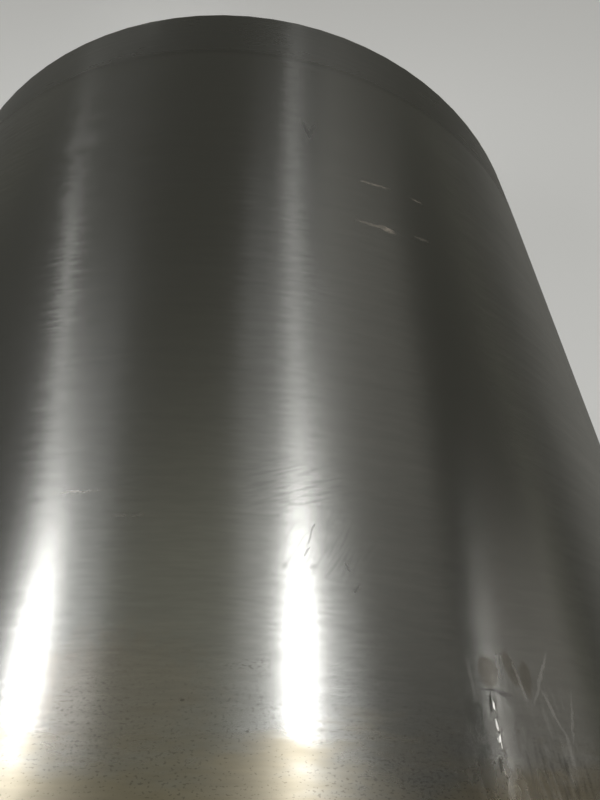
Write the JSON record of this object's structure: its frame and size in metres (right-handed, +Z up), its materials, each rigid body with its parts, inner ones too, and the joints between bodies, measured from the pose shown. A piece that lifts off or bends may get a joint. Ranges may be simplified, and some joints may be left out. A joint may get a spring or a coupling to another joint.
{
  "type": "steel coil",
  "caption": "Strip of bright steel wound into a thick ring, lying on its side, with an open eye for a mandrel and turns that stand in bands on both ends.",
  "frame": {"origin": "on the floor under the middle of the coil, as it lies on its side", "axes": "+Y along the coil's axis, away from the end that the picture looks from; +Z up; +X to the right of that view"},
  "size_m": [1.1999, 1.2559, 1.1999],
  "materials": {
    "steel_strip": "bright cold-rolled satin, fine lines along the strip, a little oil"
  },
  "bodies": {
    "root": {"steel_coil": "steel_strip"}
  },
  "joints": []
}
